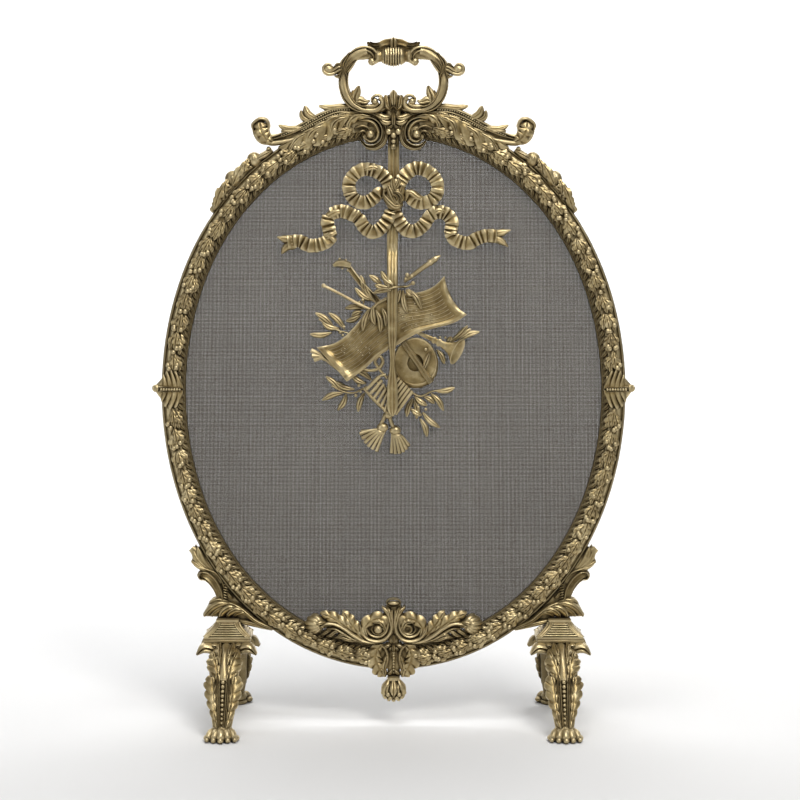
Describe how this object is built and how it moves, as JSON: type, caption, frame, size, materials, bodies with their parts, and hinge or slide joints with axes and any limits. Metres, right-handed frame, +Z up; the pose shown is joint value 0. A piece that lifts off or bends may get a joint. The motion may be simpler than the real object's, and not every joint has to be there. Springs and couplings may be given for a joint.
{
  "type": "fireplace screen",
  "caption": "Freestanding oval bronze fire screen: wire-cloth panel in a garlanded ring, ribbon-hung musical relief, leafy crest with carrying handle, splayed paw-footed legs.",
  "frame": {"origin": "on the floor, under the centre of the screen and midway between its feet", "axes": "+X to the viewer's right, -Y out of the screen's front, +Z up"},
  "size_m": [0.535, 0.22, 0.76],
  "materials": {
    "gilt_bronze": "aged gilt bronze, worn bright on the high points, dark brown in the recesses",
    "frame_bronze": "brown-patinated bronze, satin",
    "wire_cloth": "fine woven wire, grey-brown with age",
    "brass_strip": "plain rolled strip, dull",
    "brass_nut": "turned and filed, dull",
    "steel": "darkened steel"
  },
  "bodies": {
    "root": {"base_cartouche": "gilt_bronze", "base_leaf_left": "gilt_bronze", "base_leaf_right": "gilt_bronze", "base_nut": "brass_nut", "base_pendant": "gilt_bronze", "bow_knot": "gilt_bronze", "bow_loop_left": "gilt_bronze", "bow_loop_right": "gilt_bronze", "bow_tail_left": "gilt_bronze", "bow_tail_right": "gilt_bronze", "clasp_nut_left": "brass_nut", "clasp_nut_right": "brass_nut", "crest_cartouche": "gilt_bronze", "crest_nut": "brass_nut", "crest_wing_left": "gilt_bronze", "crest_wing_right": "gilt_bronze", "flute": "gilt_bronze", "frame_ring": "frame_bronze", "front_leg_left": "gilt_bronze", "front_leg_right": "gilt_bronze", "fruit_spray_left": "gilt_bronze", "fruit_spray_right": "gilt_bronze", "garland_lower_left": "gilt_bronze", "garland_lower_right": "gilt_bronze", "garland_upper_left": "gilt_bronze", "garland_upper_right": "gilt_bronze", "handle_grip": "gilt_bronze", "handle_scroll_left": "gilt_bronze", "handle_scroll_right": "gilt_bronze", "hanging_strap": "gilt_bronze", "laurel_spray_left": "gilt_bronze", "laurel_spray_lower_left": "gilt_bronze", "laurel_spray_lower_right": "gilt_bronze", "laurel_spray_right": "gilt_bronze", "laurel_spray_top": "gilt_bronze", "leaf_border": "gilt_bronze", "leg_block_left": "gilt_bronze", "leg_block_right": "gilt_bronze", "leg_bolt_left": "steel", "leg_bolt_right": "steel", "leg_bracket_left": "frame_bronze", "leg_bracket_right": "frame_bronze", "lute": "gilt_bronze", "mesh_binding": "brass_strip", "mesh_panel": "wire_cloth", "music_sheet": "gilt_bronze", "pan_pipes": "gilt_bronze", "rear_leg_left": "gilt_bronze", "rear_leg_right": "gilt_bronze", "retainer_ring": "brass_strip", "retainer_screw_1": "steel", "retainer_screw_2": "steel", "retainer_screw_3": "steel", "retainer_screw_4": "steel", "retainer_screw_5": "steel", "retainer_screw_6": "steel", "side_clasp_left": "gilt_bronze", "side_clasp_right": "gilt_bronze", "tassels": "gilt_bronze", "trumpet": "gilt_bronze"}
  },
  "joints": []
}
